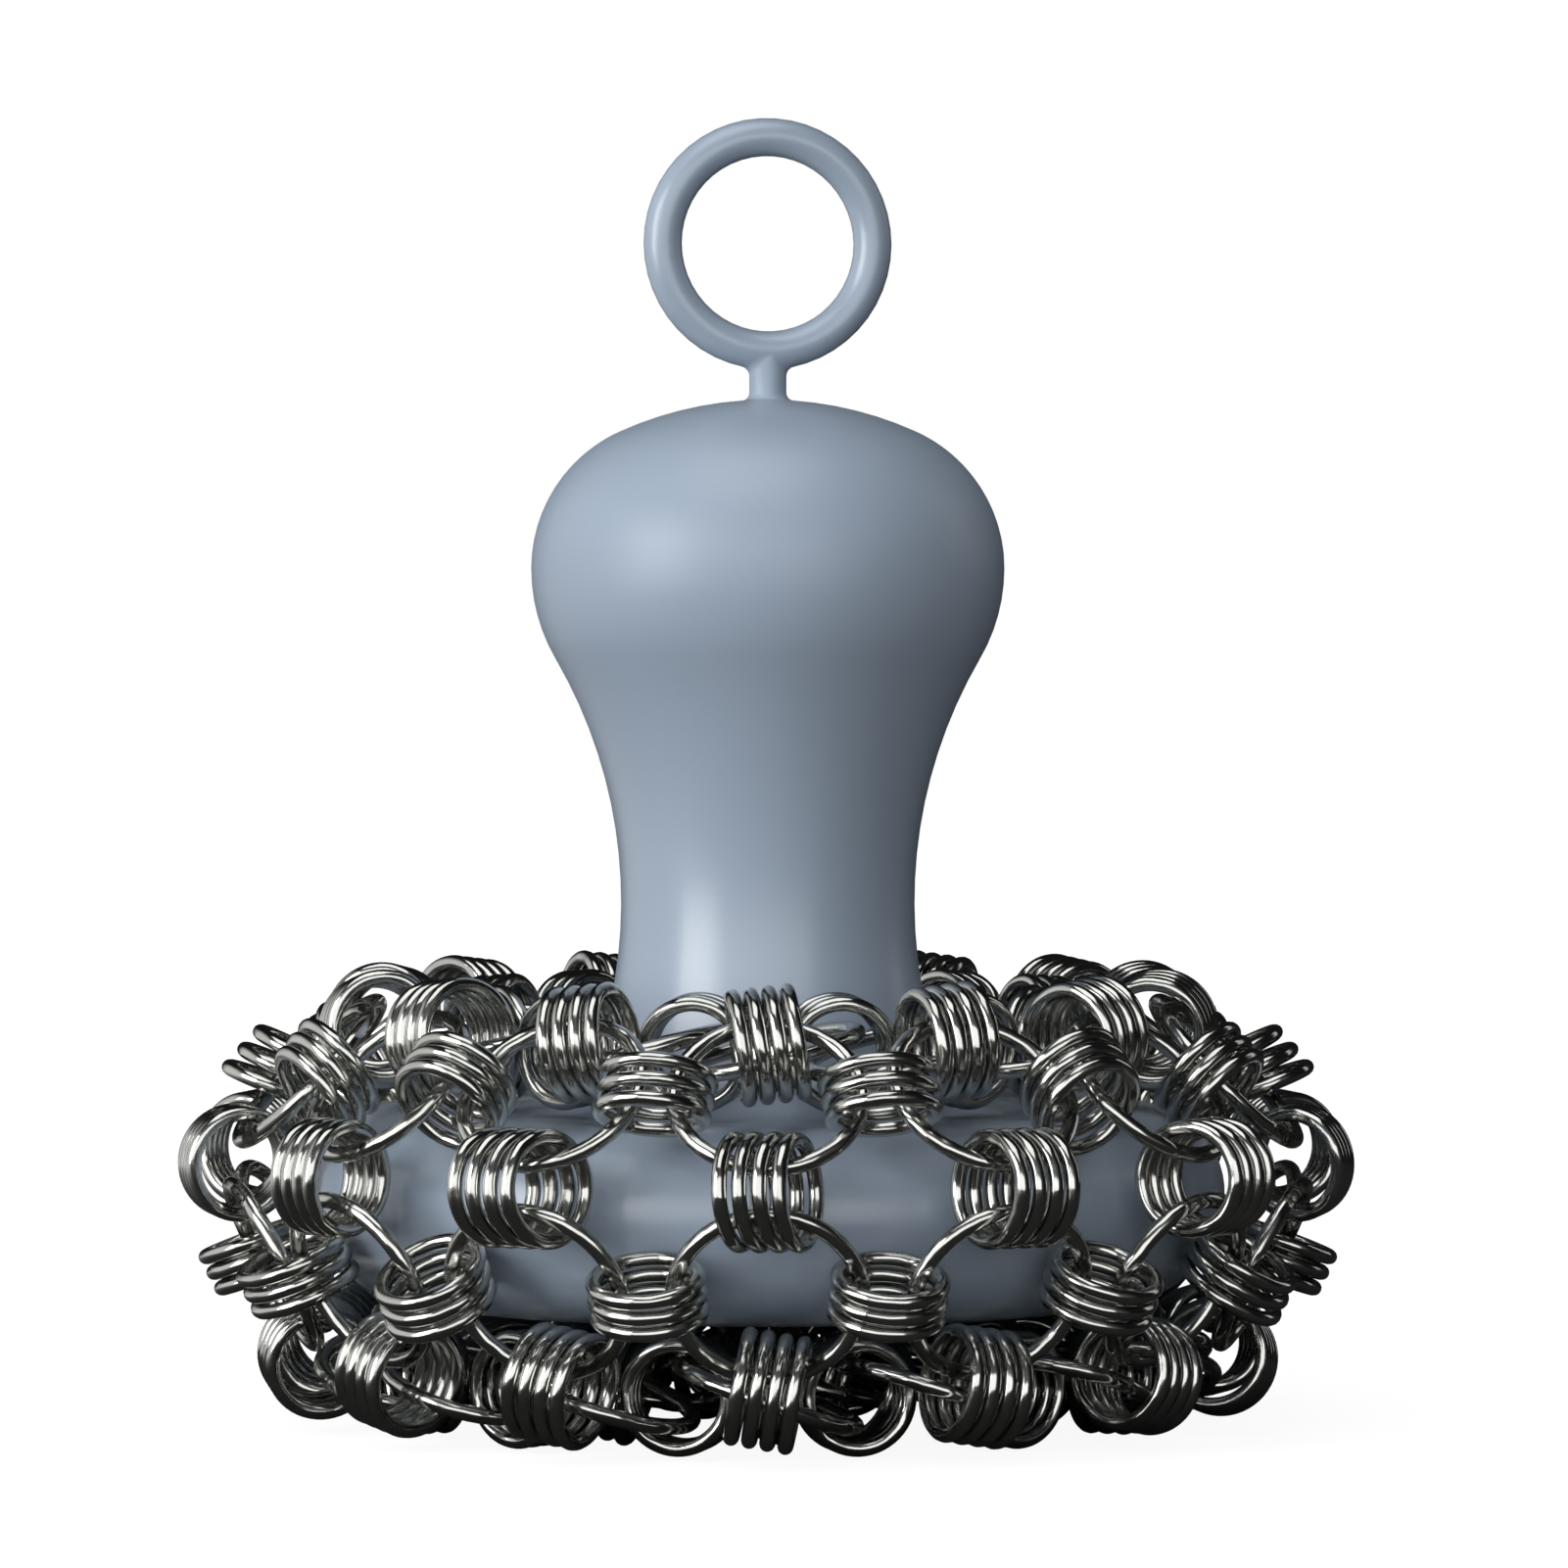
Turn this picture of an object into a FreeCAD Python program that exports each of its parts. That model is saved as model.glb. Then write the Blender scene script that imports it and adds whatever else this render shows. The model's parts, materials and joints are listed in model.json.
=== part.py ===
"""Pot scrubber: a moulded handle with a round base, held in a loose bag of steel ring mail.

The frame has +Z up, the floor at z = 0 and the handle's axis on Z. Lengths are in millimetres.
The mail is a square weave: large links lie along the base, and bundles of small rings join them.
"""

import math
import os

import FreeCAD
import Part
import Sketcher

Vector = FreeCAD.Vector
UP = Vector(0, 0, 1)

os.makedirs("parts", exist_ok=True)
doc = FreeCAD.newDocument("pot_scrubber")
sheet = doc.addObject("Spreadsheet::Sheet", "sizes")

# Sizes that can be set alone.
base_radius = 39.5
ring_wire_radius = 0.65
link_wire_radius = 0.7
waist_radius = 12.7
waist_rise = 17.5
neck_fillet_radius = 8.5
grip_radius = 20.45
grip_rise = 46.3
grip_under_radius = 15.5
grip_over_radius = 13.0
crown_rise = 1.6
stub_radius = 1.6
stub_length = 2.6
stub_fillet_radius = 0.7
hang_radius = 9.2
hang_wire_radius = 1.65
hang_fillet_radius = 0.9

# Clearances.
ring_gap = 0.2
base_lift_gap = 1.1

# The mail has this many columns round the base. Their pitch sets the size of its rings, and the base
# is as thick as the rows of links are high.
COLUMNS = 14
FIRST_COLUMN_ANGLE = -100.0
pitch = 2 * math.pi * base_radius / COLUMNS
ring_radius = 0.2426 * pitch
link_radius = 0.4344 * pitch

# The base stands on the mail, so its heights come from the rings below it.
base_bottom = 2 * (ring_radius + ring_wire_radius) + base_lift_gap
base_corner_radius = 0.48 * pitch
base_draft = 0.011 * pitch
base_shoulder_radius = 0.427 * pitch
base_middle = base_bottom + 0.51 * pitch
base_top = base_middle + base_shoulder_radius
waist_height = base_top + waist_rise
grip_height = base_top + grip_rise
dome_height = grip_height + grip_over_radius + crown_rise
hang_height = dome_height + stub_length + hang_radius + hang_wire_radius

SHEET_SIZES = {
    "base_radius": base_radius,
    "base_corner_radius": base_corner_radius,
    "base_shoulder_radius": base_shoulder_radius,
    "ring_radius": ring_radius,
    "ring_wire_radius": ring_wire_radius,
    "link_radius": link_radius,
    "link_wire_radius": link_wire_radius,
    "waist_radius": waist_radius,
    "neck_fillet_radius": neck_fillet_radius,
    "grip_radius": grip_radius,
    "grip_under_radius": grip_under_radius,
    "grip_over_radius": grip_over_radius,
    "stub_radius": stub_radius,
    "stub_fillet_radius": stub_fillet_radius,
    "hang_radius": hang_radius,
    "hang_wire_radius": hang_wire_radius,
    "hang_fillet_radius": hang_fillet_radius,
    "hang_height": hang_height,
}
for line, (alias, value) in enumerate(SHEET_SIZES.items(), start=1):
    sheet.set(f"A{line}", alias)
    sheet.set(f"B{line}", f"{value:.10f}")
    sheet.setAlias(f"B{line}", alias)
doc.recompute()


def origin_plane(body, role):
    """The body's own origin plane of that role."""
    return next(f for f in body.Origin.OriginFeatures if f.Role == role)


def unit(direction):
    """A copy of the vector with length 1."""
    copy = Vector(direction)
    copy.normalize()
    return copy


def turned_about(vector, axis, degrees):
    """The vector turned about the axis."""
    return FreeCAD.Rotation(axis, degrees).multVec(vector)


def arc(centre, start, end):
    """The shorter arc round the centre from start to end."""
    radius = (start - centre).Length
    middle = centre + unit((start - centre) + (end - centre)) * radius
    return Part.Arc(start, middle, end)


def handle_profile():
    """The half outline of the handle in the sketch plane, as a list of curves and named radii."""
    # The side of the base leans out a little and touches the round below it and the one above.
    floor_edge = base_radius - base_draft - base_corner_radius
    corner_centre = Vector(floor_edge, base_bottom + base_corner_radius, 0)
    shoulder_centre = Vector(base_radius - base_shoulder_radius, base_middle, 0)
    between = shoulder_centre - corner_centre
    lean = math.degrees(math.acos((base_corner_radius - base_shoulder_radius) / between.Length))
    outward = turned_about(unit(between), UP, -lean)
    corner_end = corner_centre + outward * base_corner_radius
    shoulder_start = shoulder_centre + outward * base_shoulder_radius
    shoulder_end = Vector(shoulder_centre.x, base_top, 0)

    # The waist arc and the arc below the grip touch where the outline bends from hollow to full.
    inward = grip_radius - waist_radius
    rise = grip_height - waist_height
    radii_sum = (inward * inward + rise * rise) / (2 * inward)
    waist_arc_radius = radii_sum - grip_under_radius
    waist_centre = Vector(waist_radius + waist_arc_radius, waist_height, 0)
    under_centre = Vector(grip_radius - grip_under_radius, grip_height, 0)
    bend = waist_centre + unit(under_centre - waist_centre) * waist_arc_radius

    # The fillet at the foot of the neck touches the base top and the waist arc.
    foot_drop = waist_height - base_top - neck_fillet_radius
    foot_reach = math.sqrt((waist_arc_radius - neck_fillet_radius) ** 2 - foot_drop**2)
    foot_centre = Vector(waist_centre.x - foot_reach, base_top + neck_fillet_radius, 0)
    foot_start = foot_centre - Vector(0, neck_fillet_radius, 0)
    foot_end = waist_centre + unit(foot_centre - waist_centre) * waist_arc_radius

    # The dome's crown is a wide arc centred on the axis that touches the arc over the grip.
    over_centre = Vector(grip_radius - grip_over_radius, grip_height, 0)
    crown_centre_drop = (over_centre.x**2 - crown_rise**2) / (2 * crown_rise)
    crown_radius = crown_centre_drop + grip_over_radius + crown_rise
    crown_centre = Vector(0, grip_height - crown_centre_drop, 0)
    crown_start = crown_centre + unit(over_centre - crown_centre) * crown_radius
    fillet_reach = stub_radius + stub_fillet_radius
    crown_end_height = crown_centre.y + math.sqrt(crown_radius**2 - fillet_reach**2)
    crown_end = Vector(fillet_reach, crown_end_height, 0)
    stub_start = Vector(stub_radius, crown_end_height + stub_fillet_radius, 0)
    stub_fillet_centre = Vector(fillet_reach, stub_start.y, 0)
    stub_top = hang_height - hang_radius

    grip_side = Vector(grip_radius, grip_height, 0)
    return [
        (Part.LineSegment(Vector(0, base_bottom, 0), Vector(floor_edge, base_bottom, 0)), None),
        (arc(corner_centre, Vector(floor_edge, base_bottom, 0), corner_end), "base_corner_radius"),
        (Part.LineSegment(corner_end, shoulder_start), None),
        (arc(shoulder_centre, shoulder_start, shoulder_end), "base_shoulder_radius"),
        (Part.LineSegment(shoulder_end, foot_start), None),
        (arc(foot_centre, foot_start, foot_end), "neck_fillet_radius"),
        (arc(waist_centre, foot_end, bend), None),
        (arc(under_centre, bend, grip_side), "grip_under_radius"),
        (arc(over_centre, grip_side, crown_start), "grip_over_radius"),
        (arc(crown_centre, crown_start, crown_end), None),
        (arc(stub_fillet_centre, crown_end, stub_start), "stub_fillet_radius"),
        (Part.LineSegment(stub_start, Vector(stub_radius, stub_top, 0)), None),
        (Part.LineSegment(Vector(stub_radius, stub_top, 0), Vector(0, stub_top, 0)), None),
        (Part.LineSegment(Vector(0, stub_top, 0), Vector(0, base_bottom, 0)), None),
    ]


def make_handle():
    """One moulding: the turned outline with the hang ring on its stub."""
    body = doc.addObject("PartDesign::Body", "handle")
    body.Label = "handle"
    sketch = body.newObject("Sketcher::SketchObject", "handle_outline")
    sketch.AttachmentSupport = [(origin_plane(body, "XZ_Plane"), "")]
    sketch.MapMode = "FlatFace"
    for curve, size in handle_profile():
        index = sketch.addGeometry(curve, False)
        if size:
            mark = sketch.addConstraint(Sketcher.Constraint("Radius", index, SHEET_SIZES[size]))
            sketch.setExpression(f"Constraints[{mark}]", f"sizes.{size}")
    turned = body.newObject("PartDesign::Revolution", "handle_turned")
    turned.Profile = sketch
    turned.ReferenceAxis = (sketch, ["V_Axis"])
    turned.Angle = 360
    doc.recompute()
    ring = body.newObject("PartDesign::AdditiveTorus", "hang_ring")
    ring.AttachmentSupport = [(origin_plane(body, "XZ_Plane"), "")]
    ring.MapMode = "FlatFace"
    ring.setExpression("Radius1", "sizes.hang_radius")
    ring.setExpression("Radius2", "sizes.hang_wire_radius")
    ring.setExpression("AttachmentOffset.Base.y", "sizes.hang_height")
    body.Tip = ring
    doc.recompute()
    seam = [
        f"Edge{number}"
        for number, edge in enumerate(ring.Shape.Edges, start=1)
        if edge.Curve.TypeId == "Part::GeomBSplineCurve" and edge.BoundBox.ZMin > dome_height
    ]
    if seam:
        fillet = body.newObject("PartDesign::Fillet", "hang_fillet")
        fillet.Base = (ring, seam)
        fillet.setExpression("Radius", "sizes.hang_fillet_radius")
        body.Tip = fillet
        doc.recompute()
    return body


# Rows of links from the opening at the neck, over the rim and under the base to the centre.
LINK_COUNTS = {
    "top": COLUMNS,
    "shoulder": COLUMNS,
    "side": COLUMNS,
    "under": COLUMNS,
    "inner": COLUMNS // 2,
    "centre": 1,
}

# The radius and height of each row's link centres.
LINK_PLACES = {
    "top": (base_radius - 0.804 * pitch, base_top + 0.313 * pitch),
    "shoulder": (base_radius + 0.065 * pitch, base_top + 0.155 * pitch),
    "side": (base_radius + 0.215 * pitch, base_bottom + 0.184 * pitch),
    "under": (base_radius - 0.46 * pitch, 0.287 * pitch),
    "inner": (0.86 * pitch, 0.32 * pitch),
    "centre": (0.0, 0.237 * pitch),
}

# The slope of each row's links along the base and their roll about that direction, in degrees.
LINK_ANGLES = {
    "top": (-4.0, 12.9),
    "shoulder": (-45.6, 0.0),
    "side": (-117.0, 0.0),
    "under": (-180.0, 19.0),
    "inner": (-188.0, 15.5),
    "centre": (-180.0, 0.0),
}


class Link:
    """One large link: its centre, its axis and the two directions in its plane.

    Links of a row with fewer than one to a column sit midway between the columns that they join.
    """

    def __init__(self, row, index):
        radius, height = LINK_PLACES[row]
        slope, roll = LINK_ANGLES[row]
        column = (index + 0.5) * COLUMNS / LINK_COUNTS[row] - 0.5
        angle = math.radians(FIRST_COLUMN_ANGLE + column * 360.0 / COLUMNS)
        self.out = Vector(math.cos(angle), math.sin(angle), 0)
        along = UP.cross(self.out)
        tilt = math.radians(slope)
        self.down = self.out * math.cos(tilt) + UP * math.sin(tilt)
        turned = math.radians(roll)
        self.across = along * math.cos(turned) + self.down.cross(along) * math.sin(turned)
        self.axis = self.across.cross(self.down)
        self.centre = self.out * radius + UP * height

    def toward(self, point):
        """The wire's middle nearest to the point, and the wire's direction there."""
        offset = point - self.centre
        outward = unit(offset - self.axis * offset.dot(self.axis))
        return self.centre + outward * link_radius, self.axis.cross(outward)


def bundle(first, second, count, yaw, fan):
    """Places for the rings that hold two wires, and the line about which the bundle swings.

    Each wire is given as a point and a direction. The rings stand side by side along the wires.
    Yaw turns each ring about the line that joins the wires, and fan opens the rings like the
    leaves of a book.
    """
    point, direction = first
    other, other_direction = second
    if direction.dot(other_direction) < 0:
        other_direction = other_direction * -1.0
    along = unit(direction + other_direction)
    swing = unit(other - point)
    swing = unit(swing - along * swing.dot(along))
    centre = (point + other) * 0.5
    step_length = (2 * ring_wire_radius + ring_gap) / math.cos(math.radians(yaw))
    step_length += ring_radius * math.sin(math.radians(abs(fan)))
    places = []
    for number in range(count):
        step = number - (count - 1) / 2
        places.append((centre + along * (step_length * step), turned_about(along, swing, yaw + fan * step)))
    return places, centre, swing


def sway(index, start):
    """A number from -1 to 1 that varies from column to column and is the same on opposite sides."""
    return math.sin(2.1 * (index % 7) + start)


links = {row: [Link(row, index) for index in range(count)] for row, count in LINK_COUNTS.items()}
rings = {}
hinges = {}


def add_bundle(node, index, first, second, count, yaw=0.0, fan=0.0, apart=False):
    """Puts a bundle in its row's node, or in a node of its own that swings on a hinge line."""
    places, centre, swing = bundle(first, second, count, yaw, fan)
    name = f"{node}_{index + 1:02d}" if apart else node
    rings.setdefault(name, []).extend(places)
    if apart:
        hinges[name] = (centre, swing)


def side_rings(node, row, count, yaw=0.0, fan=0.0, apart=False):
    """Bundles that join neighbours in a row."""
    for index in range(COLUMNS):
        left = links[row][index]
        right = links[row][(index + 1) % COLUMNS]
        first = (left.centre + left.across * link_radius, left.down)
        second = (right.centre - right.across * link_radius, right.down)
        turn = sway(index, len(row))
        add_bundle(node, index, first, second, count, yaw * turn, fan * turn, apart)


def drop_rings(node, upper, lower, count, yaw=0.0, apart=False):
    """Bundles that join a row to the row below."""
    for index in range(COLUMNS):
        above = links[upper][index]
        below = links[lower][index]
        first = (above.centre + above.down * link_radius, above.across)
        second = (below.centre - below.down * link_radius, below.across)
        turn = sway(index, math.pi / 2)
        add_bundle(node, index, first, second, count, yaw * turn, apart=apart)


side_rings("top_side_rings", "top", count=3, yaw=4.0)
drop_rings("top_drop_rings", "top", "shoulder", count=4, yaw=5.0)
side_rings("shoulder_side_rings", "shoulder", count=3, yaw=20.0, fan=3.0, apart=True)
drop_rings("rim_rings", "shoulder", "side", count=4, yaw=21.0, apart=True)
side_rings("lower_side_rings", "side", count=3, yaw=8.0, apart=True)
drop_rings("lower_drop_rings", "side", "under", count=4, yaw=3.0)
side_rings("under_side_rings", "under", count=3)
for number in range(COLUMNS):
    outer = links["under"][number]
    nearest = links["inner"][number // 2]
    held = outer.toward(nearest.centre)
    add_bundle("under_drop_rings", number, held, nearest.toward(outer.centre), count=2)
middle = links["centre"][0]
for number, inner in enumerate(links["inner"]):
    held = (inner.centre + inner.down * link_radius, inner.across)
    add_bundle("centre_rings", number, held, middle.toward(inner.centre), count=1)


def lowest_point(centre, axis, radius, wire):
    """The lowest height of a ring."""
    return centre.z - radius * math.sqrt(max(0.0, 1 - axis.z**2)) - wire


# The lowest ring rests on the floor.
drop = min(
    lowest_point(centre, axis, ring_radius, ring_wire_radius)
    for places in rings.values()
    for centre, axis in places
)


def make_rings(node, places, kind):
    """A node of separate rings, each a torus bound to the sheet."""
    members = []
    for number, (centre, axis) in enumerate(places, start=1):
        torus = doc.addObject("Part::Torus", f"{node}_wire_{number:02d}")
        torus.setExpression("Radius1", f"sizes.{kind}_radius")
        torus.setExpression("Radius2", f"sizes.{kind}_wire_radius")
        torus.Placement = FreeCAD.Placement(centre - UP * drop, FreeCAD.Rotation(UP, axis))
        members.append(torus)
    group = doc.addObject("Part::Compound", node)
    group.Links = members
    group.Label = node
    return group


nodes = [make_handle()]
for row, items in links.items():
    name = "centre_link" if row == "centre" else f"{row}_links"
    nodes.append(make_rings(name, [(item.centre, item.axis) for item in items], "link"))
for name, places in rings.items():
    nodes.append(make_rings(name, places, "ring"))
doc.recompute()

for item in doc.Objects:
    if "Invalid" in item.State or "Error" in item.State:
        raise RuntimeError(f"{item.Name} did not compute")
for node in nodes:
    if node.Shape.isNull() or not node.Shape.isValid():
        raise RuntimeError(f"{node.Label} has no valid shape")
    node.Shape.exportStep(f"parts/{node.Label}.step")
for name, (centre, swing) in hinges.items():
    seat = centre - UP * drop
    print(f"{name} swings about the line through {tuple(seat)} along {tuple(swing)}")
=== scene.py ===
"""Looks for the pot scrubber: smooth wire rings on the CAD rings' places and a satin handle."""

import json
import math

import bpy
import numpy as np
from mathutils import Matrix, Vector


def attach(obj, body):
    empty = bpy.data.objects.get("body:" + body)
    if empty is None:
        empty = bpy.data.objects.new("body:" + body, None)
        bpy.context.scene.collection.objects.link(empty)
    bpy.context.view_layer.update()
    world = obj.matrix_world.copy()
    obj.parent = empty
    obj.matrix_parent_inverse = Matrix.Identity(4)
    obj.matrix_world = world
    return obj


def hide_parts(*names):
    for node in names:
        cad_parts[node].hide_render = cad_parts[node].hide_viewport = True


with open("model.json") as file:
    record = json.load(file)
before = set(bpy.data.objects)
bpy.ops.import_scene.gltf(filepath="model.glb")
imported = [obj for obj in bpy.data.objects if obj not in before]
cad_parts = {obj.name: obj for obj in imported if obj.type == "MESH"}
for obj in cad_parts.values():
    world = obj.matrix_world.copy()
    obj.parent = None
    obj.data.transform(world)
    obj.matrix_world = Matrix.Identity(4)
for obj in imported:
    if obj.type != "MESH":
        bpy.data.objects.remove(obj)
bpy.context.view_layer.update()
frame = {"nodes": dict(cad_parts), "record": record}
scene = bpy.context.scene
scene.view_settings.view_transform = "Standard"

# Picture: its side in pixels, its width at the target in metres, and the shift of the handle's axis
IMAGE_SIDE = 1601
PICTURE_WIDTH = 0.1356
AXIS_SHIFT_PIXELS = 16.5

# Camera, in radians and metres
AZIMUTH = math.radians(-10.0)
ELEVATION = math.radians(1.2)
DISTANCE = 0.704
TARGET = Vector((0.0, 0.0, 0.0553))
SENSOR_WIDTH = 36.0
NEAR_CLIP = 0.01

# Faces round each ring and round its wire
RING_STEPS = 56
WIRE_STEPS = 14

# Points that agree to a ten-millionth of a metre are joined
JOIN_STEPS_TO_A_METRE = 1e7

# Colours that the noise mixes
STEEL_DARK, STEEL_PALE = (0.37, 0.372, 0.352), (0.53, 0.534, 0.507)
GRIP_DARK, GRIP_PALE = (0.269, 0.326, 0.403), (0.295, 0.357, 0.441)

# Heights over which the handle's finish changes: dulled by hands above the neck, glossier on the hang ring
NECK_LOW, NECK_HIGH = 0.048, 0.066
STUB_LOW, STUB_HIGH = 0.0915, 0.094
WORN_ROUGHNESS = 0.1
GLOSS = 0.5
GLOSS_LOST_BY_WEAR = 2.0

# White backdrop in reflections: degrees left of the camera, and the cosines where it starts and is full
BACKDROP_LEFT = 100.0
BACKDROP_START, BACKDROP_FULL = 0.55, 0.95

# Room: its tint, the strength that lights matte surfaces, and what reflections see of it
ROOM_COLOR = (0.94, 0.97, 1.0, 1)
ROOM_FILL = 0.13
ROOM_DARK, ROOM_AHEAD = 0.012, 0.2

# Floor and lamps, in metres
FLOOR_HALF = 3.0
# Floor grey, and the painted darker grey that reflections see of it as painted shade
FLOOR_GREY, FLOOR_GREY_PAINTED_DARKER_IN_REFLECTIONS = (0.15, 0.15, 0.15), (0.04, 0.04, 0.04)
LAMP_TARGET = Vector((0.0, 0.0, 0.05))


# Shader helpers


def new_material(name):
    """A material with an empty node tree, its nodes and its links."""
    material = bpy.data.materials.new(name)
    material.use_nodes = True
    tree = material.node_tree
    tree.nodes.clear()
    return material, tree.nodes, tree.links


def make_node(nodes, kind, **settings):
    """A node with its plain attributes set."""
    node = nodes.new(kind)
    for key, value in settings.items():
        setattr(node, key, value)
    return node


def noise(nodes, links, vector, scale, detail):
    """The value of a noise texture."""
    node = make_node(nodes, "ShaderNodeTexNoise")
    node.inputs["Scale"].default_value = scale
    node.inputs["Detail"].default_value = detail
    links.new(vector, node.inputs["Vector"])
    return node.outputs["Fac"]


def spread(nodes, links, value, low, high):
    """A noise value, mostly between a quarter and three quarters, spread over a range."""
    node = make_node(nodes, "ShaderNodeMapRange")
    node.inputs["From Min"].default_value = 0.25
    node.inputs["From Max"].default_value = 0.75
    node.inputs["To Min"].default_value = low
    node.inputs["To Max"].default_value = high
    links.new(value, node.inputs["Value"])
    return node.outputs["Result"]


def span(nodes, links, value, low, high, first, second):
    """A value between low and high mapped smoothly to a value between first and second."""
    node = make_node(nodes, "ShaderNodeMapRange", interpolation_type="SMOOTHSTEP")
    for name, number in zip(("From Min", "From Max", "To Min", "To Max"), (low, high, first, second)):
        node.inputs[name].default_value = number
    links.new(value, node.inputs["Value"])
    return node.outputs["Result"]


def blend_colors(nodes, links, factor, first, second):
    """A mix of two colours."""
    node = make_node(nodes, "ShaderNodeMix", data_type="RGBA")
    color_inputs = [socket for socket in node.inputs if socket.type == "RGBA"]
    color_inputs[0].default_value = (*first, 1)
    color_inputs[1].default_value = (*second, 1)
    links.new(factor, node.inputs["Factor"])
    return next(socket for socket in node.outputs if socket.type == "RGBA")


def math_node(nodes, links, operation, first, second):
    """The result of a math node on two values, each a socket or a number."""
    node = make_node(nodes, "ShaderNodeMath", operation=operation)
    for socket, value in zip(node.inputs, (first, second)):
        if isinstance(value, (int, float)):
            socket.default_value = value
        else:
            links.new(value, socket)
    return node.outputs["Value"]


def bump(nodes, links, height, strength, distance, normal=None):
    """A normal roughened by a height, on top of another normal where one is given."""
    node = make_node(nodes, "ShaderNodeBump")
    node.inputs["Strength"].default_value = strength
    node.inputs["Distance"].default_value = distance
    links.new(height, node.inputs["Height"])
    if normal is not None:
        links.new(normal, node.inputs["Normal"])
    return node.outputs["Normal"]


def surface(nodes, links):
    """A principled shader joined to the output."""
    shader = make_node(nodes, "ShaderNodeBsdfPrincipled")
    output = make_node(nodes, "ShaderNodeOutputMaterial")
    links.new(shader.outputs["BSDF"], output.inputs["Surface"])
    return shader


# Materials


def make_steel():
    """Polished stainless wire, a little uneven, with fine drawing marks and a little tarnish."""
    material, nodes, links = new_material("dark_steel")
    shader = surface(nodes, links)
    coords = make_node(nodes, "ShaderNodeTexCoord").outputs["Object"]
    tarnish = noise(nodes, links, coords, scale=160.0, detail=3.0)
    smear = noise(nodes, links, coords, scale=700.0, detail=2.0)
    waves = noise(nodes, links, coords, scale=330.0, detail=1.0)
    grain = noise(nodes, links, coords, scale=5200.0, detail=2.0)
    color = blend_colors(nodes, links, tarnish, STEEL_DARK, STEEL_PALE)
    links.new(color, shader.inputs["Base Color"])
    shader.inputs["Metallic"].default_value = 1.0
    links.new(spread(nodes, links, smear, low=0.1, high=0.2), shader.inputs["Roughness"])
    uneven = bump(nodes, links, waves, strength=0.6, distance=0.0005)
    marked = bump(nodes, links, grain, strength=0.06, distance=0.00005, normal=uneven)
    links.new(marked, shader.inputs["Normal"])
    return material


def make_grip():
    """Satin grey-blue moulding with a faint mottle and a fine skin, dulled where hands hold it."""
    material, nodes, links = new_material("satin_grip")
    shader = surface(nodes, links)
    coords = make_node(nodes, "ShaderNodeTexCoord").outputs["Object"]
    mottle = noise(nodes, links, coords, scale=45.0, detail=3.0)
    handling = noise(nodes, links, coords, scale=130.0, detail=2.0)
    skin = noise(nodes, links, coords, scale=4200.0, detail=2.0)
    color = blend_colors(nodes, links, mottle, GRIP_DARK, GRIP_PALE)
    links.new(color, shader.inputs["Base Color"])
    place = make_node(nodes, "ShaderNodeSeparateXYZ")
    links.new(coords, place.inputs["Vector"])
    height = place.outputs["Z"]
    above_neck = span(nodes, links, height, NECK_LOW, NECK_HIGH, 0.0, WORN_ROUGHNESS)
    below_ring = span(nodes, links, height, STUB_LOW, STUB_HIGH, 1.0, 0.0)
    worn = math_node(nodes, links, "MULTIPLY", above_neck, below_ring)
    rough = math_node(nodes, links, "ADD", spread(nodes, links, handling, low=0.28, high=0.3), worn)
    links.new(rough, shader.inputs["Roughness"])
    dulled = math_node(nodes, links, "MULTIPLY", worn, GLOSS_LOST_BY_WEAR)
    links.new(math_node(nodes, links, "SUBTRACT", GLOSS, dulled), shader.inputs["Specular IOR Level"])
    shader.inputs["IOR"].default_value = 1.6
    links.new(bump(nodes, links, skin, strength=0.05, distance=0.00008), shader.inputs["Normal"])
    return material


# Pieces


def merged_mesh(node):
    """The node's points without doubles, and its triangles by index into them."""
    mesh = frame["nodes"][node].data
    points = np.empty(len(mesh.vertices) * 3)
    mesh.vertices.foreach_get("co", points)
    points = points.reshape(-1, 3)
    mesh.calc_loop_triangles()
    triangles = np.empty(len(mesh.loop_triangles) * 3, dtype=np.int64)
    mesh.loop_triangles.foreach_get("vertices", triangles)
    keys = np.round(points * JOIN_STEPS_TO_A_METRE).astype(np.int64)
    unused, first, back = np.unique(keys, axis=0, return_index=True, return_inverse=True)
    return points[first], back.reshape(-1)[triangles].reshape(-1, 3)


def loose_parts(points, triangles):
    """The point indices of each separate solid."""
    label = np.arange(len(points))
    while True:
        low = label[triangles].min(axis=1)
        fresh = label.copy()
        for corner in range(3):
            np.minimum.at(fresh, triangles[:, corner], low)
        fresh = fresh[fresh]
        if np.array_equal(fresh, label):
            break
        label = fresh
    return [np.nonzero(label == value)[0] for value in np.unique(label)]


def ring_places(node):
    """The centre, axis, mean radius and wire radius of every ring in a CAD node."""
    points, triangles = merged_mesh(node)
    places = []
    for part in loose_parts(points, triangles):
        cloud = points[part]
        centre = cloud.mean(axis=0)
        unused, directions = np.linalg.eigh(np.cov((cloud - centre).T))
        axis = directions[:, 0]
        height = (cloud - centre) @ axis
        centre = centre + axis * (height.max() + height.min()) / 2
        flat = (cloud - centre) - np.outer((cloud - centre) @ axis, axis)
        reach = np.linalg.norm(flat, axis=1)
        wire = (height.max() - height.min()) / 2
        places.append((centre, axis, reach.max() - wire, wire))
    return places


def smooth_mesh(name, points, faces):
    """A mesh of those faces, shaded smoothly."""
    mesh = bpy.data.meshes.new(name)
    mesh.from_pydata(points.tolist(), [], faces.tolist())
    mesh.polygons.foreach_set("use_smooth", [True] * len(mesh.polygons))
    mesh.update()
    return mesh


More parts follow.
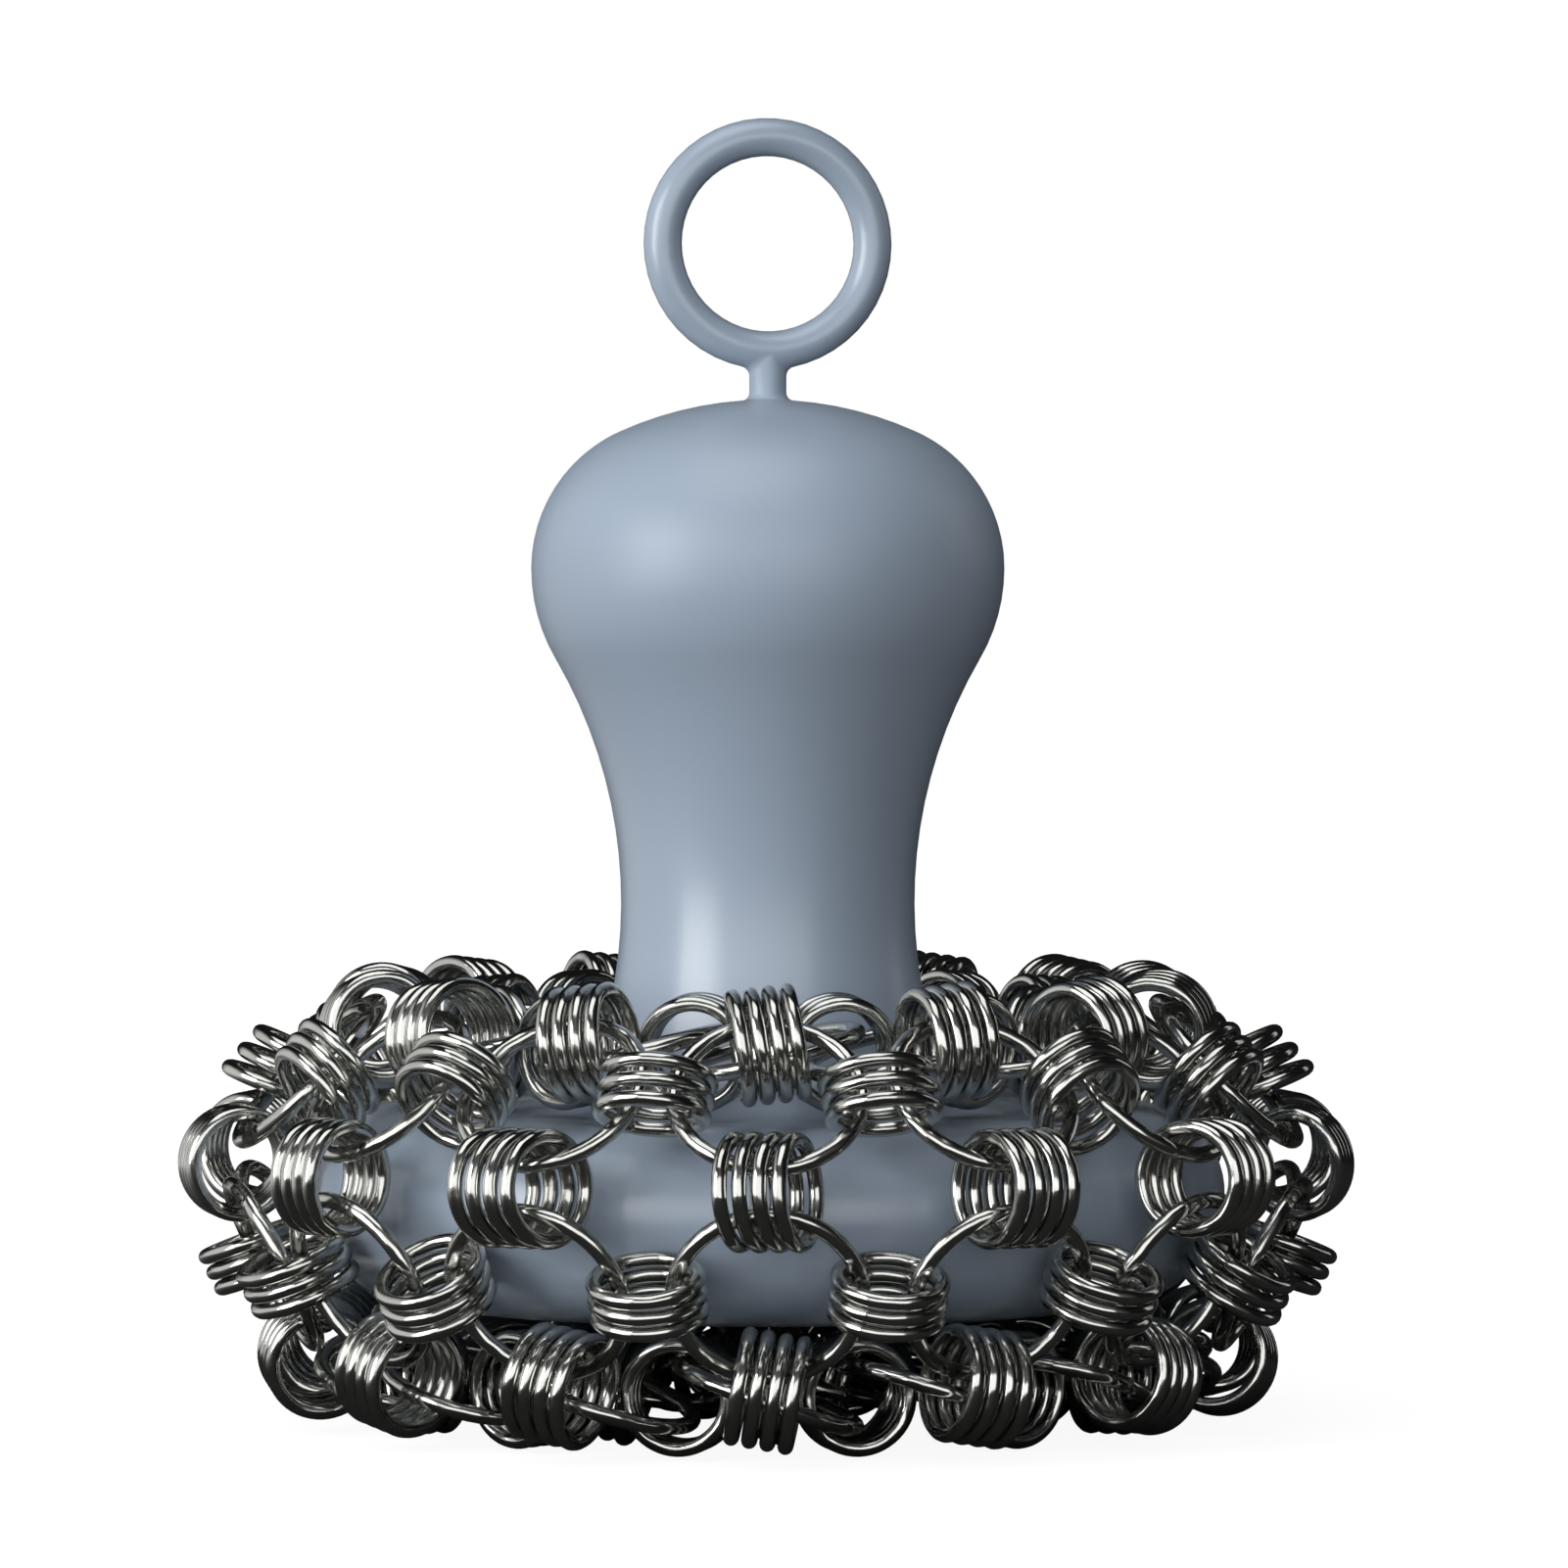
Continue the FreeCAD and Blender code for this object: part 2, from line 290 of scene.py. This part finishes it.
def ring_faces():
    """The faces of one ring, by index into its points."""
    row, column = np.meshgrid(np.arange(RING_STEPS), np.arange(WIRE_STEPS), indexing="ij")
    next_row = (row + 1) % RING_STEPS
    next_column = (column + 1) % WIRE_STEPS
    corners = [(row, column), (next_row, column), (next_row, next_column), (row, next_column)]
    return np.stack([along * WIRE_STEPS + across for along, across in corners], axis=-1).reshape(-1, 4)


def ring_mesh(name, places):
    """One mesh with a torus at every place."""
    turn = np.linspace(0, 2 * math.pi, RING_STEPS, endpoint=False)
    tube = np.linspace(0, 2 * math.pi, WIRE_STEPS, endpoint=False)
    quads = ring_faces()
    points = []
    faces = []
    for number, (centre, axis, radius, wire) in enumerate(places):
        helper = np.array([1.0, 0, 0]) if abs(axis[0]) < 0.8 else np.array([0, 1.0, 0])
        first = np.cross(axis, helper)
        first /= np.linalg.norm(first)
        second = np.cross(axis, first)
        outward = np.outer(np.cos(turn), first) + np.outer(np.sin(turn), second)
        ring = centre + outward[:, None, :] * (radius + wire * np.cos(tube))[None, :, None]
        ring = ring + axis * (wire * np.sin(tube))[None, :, None]
        points.append(ring.reshape(-1, 3))
        faces.append(quads + number * RING_STEPS * WIRE_STEPS)
    return smooth_mesh(name, np.concatenate(points), np.concatenate(faces))


def add_object(name, mesh, material):
    """An object in the scene with that mesh and material."""
    piece = bpy.data.objects.new(name, mesh)
    scene.collection.objects.link(piece)
    mesh.materials.clear()
    mesh.materials.append(material)
    return piece


steel = make_steel()
grip = make_grip()

for body, members in frame["record"]["behaviour"]["bodies"].items():
    for node in members:
        if node == "handle":
            piece = add_object("moulded_handle", smooth_mesh("moulded_handle", *merged_mesh(node)), grip)
        else:
            piece = add_object("wire_" + node, ring_mesh("wire_" + node, ring_places(node)), steel)
        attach(piece, body)
        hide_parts(node)


# Camera


def aim(thing, place, target):
    """Puts a camera or lamp at the place, facing the target."""
    thing.location = place
    thing.rotation_euler = (target - place).to_track_quat("-Z", "Y").to_euler()


def around(left, up, distance, target):
    """A point that far from the target, turned left of the camera and up from the floor by degrees."""
    turn = AZIMUTH - math.radians(left)
    rise = math.radians(up)
    level = Vector((math.sin(turn), -math.cos(turn), 0.0)) * math.cos(rise)
    return target + (level + Vector((0, 0, math.sin(rise)))) * distance


def make_camera():
    """A long lens, almost level with the mail, shifted so that the handle's axis is off the middle."""
    data = bpy.data.cameras.new("camera")
    camera = bpy.data.objects.new("camera", data)
    scene.collection.objects.link(camera)
    aim(camera, around(0.0, math.degrees(ELEVATION), DISTANCE, TARGET), TARGET)
    data.sensor_fit = "HORIZONTAL"
    data.sensor_width = SENSOR_WIDTH
    data.lens = SENSOR_WIDTH * DISTANCE / PICTURE_WIDTH
    data.shift_x = AXIS_SHIFT_PIXELS / IMAGE_SIDE
    data.clip_start = NEAR_CLIP
    scene.camera = camera


# Stage


def toward(nodes, links, direction, left):
    """1 for a direction straight to that many degrees left of the camera, and 0 for one across it."""
    node = make_node(nodes, "ShaderNodeVectorMath", operation="DOT_PRODUCT")
    links.new(direction, node.inputs[0])
    node.inputs[1].default_value = around(left, 0.0, 1.0, TARGET) - TARGET
    return node.outputs["Value"]


def lit_side(nodes, links, direction):
    """1 towards the side where reflections show the white backdrop, and 0 away from it."""
    straight = toward(nodes, links, direction, BACKDROP_LEFT)
    return span(nodes, links, straight, BACKDROP_START, BACKDROP_FULL, 0.0, 1.0)


def shown_white(nodes, links, path, mirrored):
    """1 for rays that see the white backdrop: camera and transmission rays, and the mirrored ones."""
    seen = math_node(nodes, links, "MAXIMUM", path["Is Camera Ray"], path["Is Transmission Ray"])
    return math_node(nodes, links, "MAXIMUM", seen, mirrored)


def make_world():
    """A white backdrop behind the object, and a dim room round it that is lighter towards the camera."""
    world = bpy.data.worlds.new("studio")
    scene.world = world
    world.use_nodes = True
    nodes = world.node_tree.nodes
    links = world.node_tree.links
    nodes.clear()
    path = make_node(nodes, "ShaderNodeLightPath").outputs
    direction = make_node(nodes, "ShaderNodeTexCoord").outputs["Generated"]
    lit = lit_side(nodes, links, direction)
    mirrored = math_node(nodes, links, "MULTIPLY", path["Is Glossy Ray"], lit)
    room = make_node(nodes, "ShaderNodeBackground")
    room.inputs["Color"].default_value = ROOM_COLOR
    fill = math_node(nodes, links, "MULTIPLY", path["Is Diffuse Ray"], ROOM_FILL)
    ahead = toward(nodes, links, direction, left=0.0)
    gloom = span(nodes, links, ahead, low=0.3, high=1.0, first=ROOM_DARK, second=ROOM_AHEAD)
    links.new(math_node(nodes, links, "ADD", fill, gloom), room.inputs["Strength"])
    white = make_node(nodes, "ShaderNodeBackground")
    white.inputs["Color"].default_value = (1, 1, 1, 1)
    white.inputs["Strength"].default_value = 1.0
    pick = make_node(nodes, "ShaderNodeMixShader")
    output = make_node(nodes, "ShaderNodeOutputWorld")
    links.new(shown_white(nodes, links, path, mirrored), pick.inputs["Fac"])
    links.new(room.outputs["Background"], pick.inputs[1])
    links.new(white.outputs["Background"], pick.inputs[2])
    links.new(pick.outputs["Shader"], output.inputs["Surface"])


def make_floor():
    """A white floor that keeps a soft shadow. In reflections a painted shadow darkens it close to the
    object, painted shade darkens the side away from the backdrop, and its grey is painted darker.
    """
    material, nodes, links = new_material("white_floor")
    path = make_node(nodes, "ShaderNodeLightPath").outputs
    place = make_node(nodes, "ShaderNodeTexCoord").outputs["Object"]
    length = make_node(nodes, "ShaderNodeVectorMath", operation="LENGTH")
    links.new(place, length.inputs[0])
    reach = length.outputs["Value"]
    heading = make_node(nodes, "ShaderNodeVectorMath", operation="NORMALIZE")
    links.new(place, heading.inputs[0])
    # Painted shade: in reflections the floor glows white only on the backdrop's side and is dark on the
    # far side
    lit = lit_side(nodes, links, heading.outputs["Vector"])
    # Painted shadow: in reflections the floor has no glow close to the object
    past_painted_shadow = span(nodes, links, reach, low=0.05, high=0.25, first=0.0, second=1.0)
    mirrored = math_node(nodes, links, "MULTIPLY", path["Is Glossy Ray"], past_painted_shadow)
    mirrored = math_node(nodes, links, "MULTIPLY", mirrored, lit)
    level = span(nodes, links, reach, low=0.15, high=0.7, first=0.93, second=1.0)
    strength = math_node(nodes, links, "MULTIPLY", shown_white(nodes, links, path, mirrored), level)
    glow = make_node(nodes, "ShaderNodeEmission")
    links.new(strength, glow.inputs["Strength"])
    matte = make_node(nodes, "ShaderNodeBsdfDiffuse")
    # Painted shade: reflected rays see the floor's grey darker than other rays do
    color = blend_colors(nodes, links, path["Is Glossy Ray"], FLOOR_GREY, FLOOR_GREY_PAINTED_DARKER_IN_REFLECTIONS)
    links.new(color, matte.inputs["Color"])
    both = make_node(nodes, "ShaderNodeAddShader")
    output = make_node(nodes, "ShaderNodeOutputMaterial")
    links.new(glow.outputs["Emission"], both.inputs[0])
    links.new(matte.outputs["BSDF"], both.inputs[1])
    links.new(both.outputs["Shader"], output.inputs["Surface"])
    mesh = bpy.data.meshes.new("floor")
    corners = [(-FLOOR_HALF, -FLOOR_HALF, 0), (FLOOR_HALF, -FLOOR_HALF, 0)]
    corners += [(FLOOR_HALF, FLOOR_HALF, 0), (-FLOOR_HALF, FLOOR_HALF, 0)]
    mesh.from_pydata(corners, [], [(0, 1, 2, 3)])
    add_object("floor", mesh, material)


def soft_lamp(name, left, up, distance, width, height, power):
    """A rectangular area lamp that faces the mail from that many degrees left of the camera and up."""
    data = bpy.data.lights.new(name, "AREA")
    data.shape = "RECTANGLE"
    data.size = width
    data.size_y = height
    data.energy = power
    lamp = bpy.data.objects.new(name, data)
    scene.collection.objects.link(lamp)
    aim(lamp, around(left, up, distance, LAMP_TARGET), LAMP_TARGET)


make_camera()
make_world()
make_floor()
soft_lamp("key", left=54.0, up=14.0, distance=0.75, width=0.42, height=0.5, power=4.6)
soft_lamp("top", left=20.0, up=75.0, distance=0.9, width=0.7, height=0.7, power=3.2)
soft_lamp("front", left=0.0, up=12.0, distance=0.9, width=1.2, height=0.45, power=3.2)
soft_lamp("rim", left=-115.0, up=20.0, distance=0.8, width=0.15, height=0.5, power=0.2)
